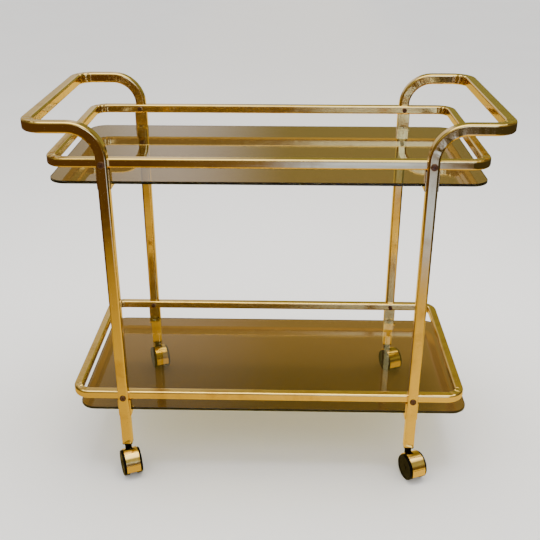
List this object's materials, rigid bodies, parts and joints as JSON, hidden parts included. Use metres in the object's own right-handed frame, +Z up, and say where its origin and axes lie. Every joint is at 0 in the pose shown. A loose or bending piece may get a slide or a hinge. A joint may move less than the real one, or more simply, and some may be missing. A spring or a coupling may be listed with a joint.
{
  "type": "bar cart",
  "caption": "Bar cart of bent brass square tube: raised push handles at both ends, gallery rails around smoked glass shelves, and hooded swivel castors.",
  "frame": {"origin": "on the floor under the middle of the four legs", "axes": "+X along the cart's length to the right, +Y to its back, +Z up"},
  "size_m": [0.793, 0.4334, 0.6735],
  "materials": {
    "brass_tube": "polished brass plate",
    "brass_rail": "polished brass plate",
    "bracket_brass": "satin brass plate",
    "brass_hood": "polished brass plate",
    "smoked_glass": "smoked bronze, polished",
    "dark_fastener": "dark brown, satin",
    "bracket_fastener": "plain steel",
    "steel_pin": "turned steel",
    "soft_pad": "clear soft pad",
    "black_socket": "moulded, matte",
    "black_core": "moulded, matte",
    "black_wheel": "moulded, satin"
  },
  "bodies": {
    "frame": {"left_leg_handle": "brass_tube", "right_leg_handle": "brass_tube", "upper_gallery_rail": "brass_rail", "lower_gallery_rail": "brass_rail", "upper_glass_shelf": "smoked_glass", "lower_glass_shelf": "smoked_glass", "rail_screws": "dark_fastener", "rail_nuts": "dark_fastener", "bracket_screws": "bracket_fastener", "glass_pads": "soft_pad", "stem_grip_rings": "steel_pin", "front_left_upper_bracket": "bracket_brass", "front_left_lower_bracket": "bracket_brass", "front_left_castor_socket": "black_socket", "front_left_castor_stem": "steel_pin", "front_right_upper_bracket": "bracket_brass", "front_right_lower_bracket": "bracket_brass", "front_right_castor_socket": "black_socket", "front_right_castor_stem": "steel_pin", "back_left_upper_bracket": "bracket_brass", "back_left_lower_bracket": "bracket_brass", "back_left_castor_socket": "black_socket", "back_left_castor_stem": "steel_pin", "back_right_upper_bracket": "bracket_brass", "back_right_lower_bracket": "bracket_brass", "back_right_castor_socket": "black_socket", "back_right_castor_stem": "steel_pin"},
    "front_left_castor": {"front_left_castor_core": "black_core", "front_left_castor_hood": "brass_hood", "front_left_castor_axle": "steel_pin"},
    "front_left_castor_left_wheel_body": {"front_left_castor_left_wheel": "black_wheel"},
    "front_left_castor_right_wheel_body": {"front_left_castor_right_wheel": "black_wheel"},
    "front_right_castor": {"front_right_castor_core": "black_core", "front_right_castor_hood": "brass_hood", "front_right_castor_axle": "steel_pin"},
    "front_right_castor_left_wheel_body": {"front_right_castor_left_wheel": "black_wheel"},
    "front_right_castor_right_wheel_body": {"front_right_castor_right_wheel": "black_wheel"},
    "back_left_castor": {"back_left_castor_core": "black_core", "back_left_castor_hood": "brass_hood", "back_left_castor_axle": "steel_pin"},
    "back_left_castor_left_wheel_body": {"back_left_castor_left_wheel": "black_wheel"},
    "back_left_castor_right_wheel_body": {"back_left_castor_right_wheel": "black_wheel"},
    "back_right_castor": {"back_right_castor_core": "black_core", "back_right_castor_hood": "brass_hood", "back_right_castor_axle": "steel_pin"},
    "back_right_castor_left_wheel_body": {"back_right_castor_left_wheel": "black_wheel"},
    "back_right_castor_right_wheel_body": {"back_right_castor_right_wheel": "black_wheel"}
  },
  "joints": [
    {"name": "front_left_swivel", "type": "hinge", "parent": "frame", "child": "front_left_castor", "pos_m": [-0.265, -0.187, 0.05], "axis": [0, 0, 1], "continuous": true},
    {"name": "front_left_left_wheel_spin", "type": "hinge", "parent": "front_left_castor", "child": "front_left_castor_left_wheel_body", "pos_m": [-0.25751, -0.20554, 0.024], "axis": [0.9272, 0.3746, 0], "continuous": true},
    {"name": "front_left_right_wheel_spin", "type": "hinge", "parent": "front_left_castor", "child": "front_left_castor_right_wheel_body", "pos_m": [-0.25751, -0.20554, 0.024], "axis": [0.9272, 0.3746, 0], "continuous": true},
    {"name": "front_right_swivel", "type": "hinge", "parent": "frame", "child": "front_right_castor", "pos_m": [0.265, -0.187, 0.05], "axis": [0, 0, 1], "continuous": true},
    {"name": "front_right_left_wheel_spin", "type": "hinge", "parent": "front_right_castor", "child": "front_right_castor_left_wheel_body", "pos_m": [0.27249, -0.20554, 0.024], "axis": [0.9272, 0.3746, 0], "continuous": true},
    {"name": "front_right_right_wheel_spin", "type": "hinge", "parent": "front_right_castor", "child": "front_right_castor_right_wheel_body", "pos_m": [0.27249, -0.20554, 0.024], "axis": [0.9272, 0.3746, 0], "continuous": true},
    {"name": "back_left_swivel", "type": "hinge", "parent": "frame", "child": "back_left_castor", "pos_m": [-0.265, 0.187, 0.05], "axis": [0, 0, 1], "continuous": true},
    {"name": "back_left_left_wheel_spin", "type": "hinge", "parent": "back_left_castor", "child": "back_left_castor_left_wheel_body", "pos_m": [-0.25751, 0.16846, 0.024], "axis": [0.9272, 0.3746, 0], "continuous": true},
    {"name": "back_left_right_wheel_spin", "type": "hinge", "parent": "back_left_castor", "child": "back_left_castor_right_wheel_body", "pos_m": [-0.25751, 0.16846, 0.024], "axis": [0.9272, 0.3746, 0], "continuous": true},
    {"name": "back_right_swivel", "type": "hinge", "parent": "frame", "child": "back_right_castor", "pos_m": [0.265, 0.187, 0.05], "axis": [0, 0, 1], "continuous": true},
    {"name": "back_right_left_wheel_spin", "type": "hinge", "parent": "back_right_castor", "child": "back_right_castor_left_wheel_body", "pos_m": [0.27249, 0.16846, 0.024], "axis": [0.9272, 0.3746, 0], "continuous": true},
    {"name": "back_right_right_wheel_spin", "type": "hinge", "parent": "back_right_castor", "child": "back_right_castor_right_wheel_body", "pos_m": [0.27249, 0.16846, 0.024], "axis": [0.9272, 0.3746, 0], "continuous": true}
  ]
}
